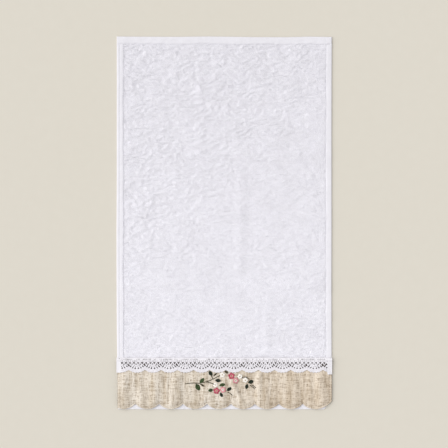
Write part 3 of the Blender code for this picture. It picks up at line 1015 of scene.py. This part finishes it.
def add_blossom(petals, heart, knots, x, y, radius, degrees):
    """Five rounded petals of stitches that fan out from a heart of stitches with a few knots in it."""
    middle = np.array((x, y)) * MM
    for petal in range(5):
        centre = math.radians(degrees + petal * 72)
        spread = np.linspace(-0.56, 0.56, 9)
        reach = radius * MM * (0.76 + 0.24 * np.cos(spread / 0.56 * math.pi / 2))
        way = np.stack([np.cos(centre + spread), np.sin(centre + spread)], 1)
        satin(petals, middle + way * 0.30 * radius * MM, middle + way * reach[:, None], arch=0.0005)
        inner = way[::2]
        inner_start, inner_end = middle + inner * 0.14 * radius * MM, middle + inner * 0.46 * radius * MM
        satin(heart, inner_start, inner_end, arch=0.0008)
    for number in range(4):
        turn = math.radians(degrees + 36 + number * 90)
        spot = middle + 0.09 * radius * MM * np.array((math.cos(turn), math.sin(turn)))
        circle = np.linspace(0, 2 * math.pi, 6)
        ring = spot + 0.00035 * np.stack([np.cos(circle), np.sin(circle)], 1)
        height = band_over(ring[:, 0], ring[:, 1]) + 0.0009
        knots.add(np.concatenate([ring, height[:, None]], 1), 0.00036, sides=4)


def add_stem(threads, start_x, start_y, end_x, end_y, bow):
    """Short stitches that overlap along a bowed line."""
    start, end = np.array((start_x, start_y)) * MM, np.array((end_x, end_y)) * MM
    run = end - start
    side = np.array((-run[1], run[0])) / np.linalg.norm(run)
    shares = np.linspace(0, 1, max(4, int(np.linalg.norm(run) / 0.0014)))
    line = start + np.outer(shares, run) + np.outer(bow * MM * np.sin(math.pi * shares), side)
    for aside in (-0.00040, 0.00040):
        first = line[:-1] + aside * side
        second = line[1:] + 0.35 * np.diff(line, axis=0) - aside * side
        satin(threads, first, second, arch=0.00045, radius=0.00045)


def make_embroidery(materials):
    """All the stitches of one colour are one piece."""
    bundles = {name: Threads() for name in EMBROIDERY_COLOURS}
    for start_x, start_y, end_x, end_y, bow in STEMS:
        add_stem(bundles[OLIVE], start_x, start_y, end_x, end_y, bow)
    for x, y, degrees, length, width, colour in LEAVES:
        add_leaf(bundles[colour], x, y, degrees, length, width)
    for x, y, radius, degrees, petals, heart in BLOSSOMS:
        add_blossom(bundles[petals], bundles[heart], bundles[KNOT], x, y, radius, degrees)
    return [bundle.build(f"embroidery_{name}", materials[name]) for name, bundle in bundles.items()]


# ======== floor, light and camera ========

def make_floor():
    shader = Shader("floor_beige", 0.95, specular=0.1)
    grain = shader.noise(shader.scaled(60, 60), 3.0)
    shader.colour(shader.mix(grain, (0.632, 0.596, 0.524), (0.640, 0.604, 0.532), 0.3, 0.7))
    # It lies just under the towel, so that no two faces share a plane.
    bpy.ops.mesh.primitive_plane_add(size=60.0, location=(0.0, 0.0, -0.0003))
    floor = bpy.context.active_object
    floor.name = "floor"
    floor.data.materials.append(shader.material)


def make_light():
    world = bpy.data.worlds.new("studio")
    bpy.context.scene.world = world
    world.use_nodes = True
    world.node_tree.nodes["Background"].inputs["Color"].default_value = (1.0, 1.0, 1.0, 1.0)
    world.node_tree.nodes["Background"].inputs["Strength"].default_value = SKY_STRENGTH
    lamp = bpy.data.lights.new("key", "SUN")
    lamp.angle = SUN_ANGLE
    lamp.energy = SUN_STRENGTH
    key = bpy.data.objects.new("key", lamp)
    key.rotation_euler = SUN_DIRECTION.to_track_quat("-Z", "Y").to_euler()
    bpy.context.scene.collection.objects.link(key)


def make_camera():
    lens = bpy.data.cameras.new("camera")
    lens.sensor_width = 36.0
    lens.lens = lens.sensor_width * CAMERA_HEIGHT / VIEW_WIDTH
    camera = bpy.data.objects.new("camera", lens)
    camera.location = (0.0, VIEW_CENTRE_Y, CAMERA_HEIGHT)
    bpy.context.scene.collection.objects.link(camera)
    bpy.context.scene.camera = camera


# ======== the towel ========

def make_towel():
    ground = terry_material("terry_ground", (0.74, 0.725, 0.765), (0.80, 0.785, 0.83))
    pile_cotton = terry_material("terry_pile", (0.86, 0.845, 0.895), (0.935, 0.925, 0.98))
    linen = linen_material()
    cotton = thread_material("lace_cotton", (0.77, 0.745, 0.78), (0.87, 0.845, 0.88))
    lace_ground = thread_material("lace_ground", (0.74, 0.72, 0.755), (0.84, 0.82, 0.855))
    # Painted shade: the hem thread is grey rather than white, standing in for the shade along the hems'
    # stitched grooves.
    painted_shade_hem_thread = thread_material("hem_thread", (0.50, 0.49, 0.54), (0.66, 0.65, 0.70))
    beige_thread = thread_material("band_thread", (0.30, 0.23, 0.17), (0.50, 0.42, 0.33))
    colours = {
        name: thread_material(name, dark, light, 0.45, 0.0, 0.4)
        for name, (dark, light) in EMBROIDERY_COLOURS.items()
    }

    panel = make_panel(ground)
    pile = make_pile(pile_cotton)
    hem_stitches = make_hem_stitches(painted_shade_hem_thread)
    band = make_band(linen)
    band_stitches = make_band_stitches(beige_thread)
    lace = make_lace_cloth(lace_ground)
    cords = make_lace_cords(cotton)
    embroidery = make_embroidery(colours)

    for piece in (panel, *pile, hem_stitches, band, band_stitches, lace, cords, *embroidery):
        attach(piece, "root")
    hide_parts("terry_panel")
    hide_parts("linen_band")
    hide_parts("lace_trim")


bpy.context.scene.view_settings.view_transform = "Standard"
make_floor()
make_light()
make_camera()
make_towel()
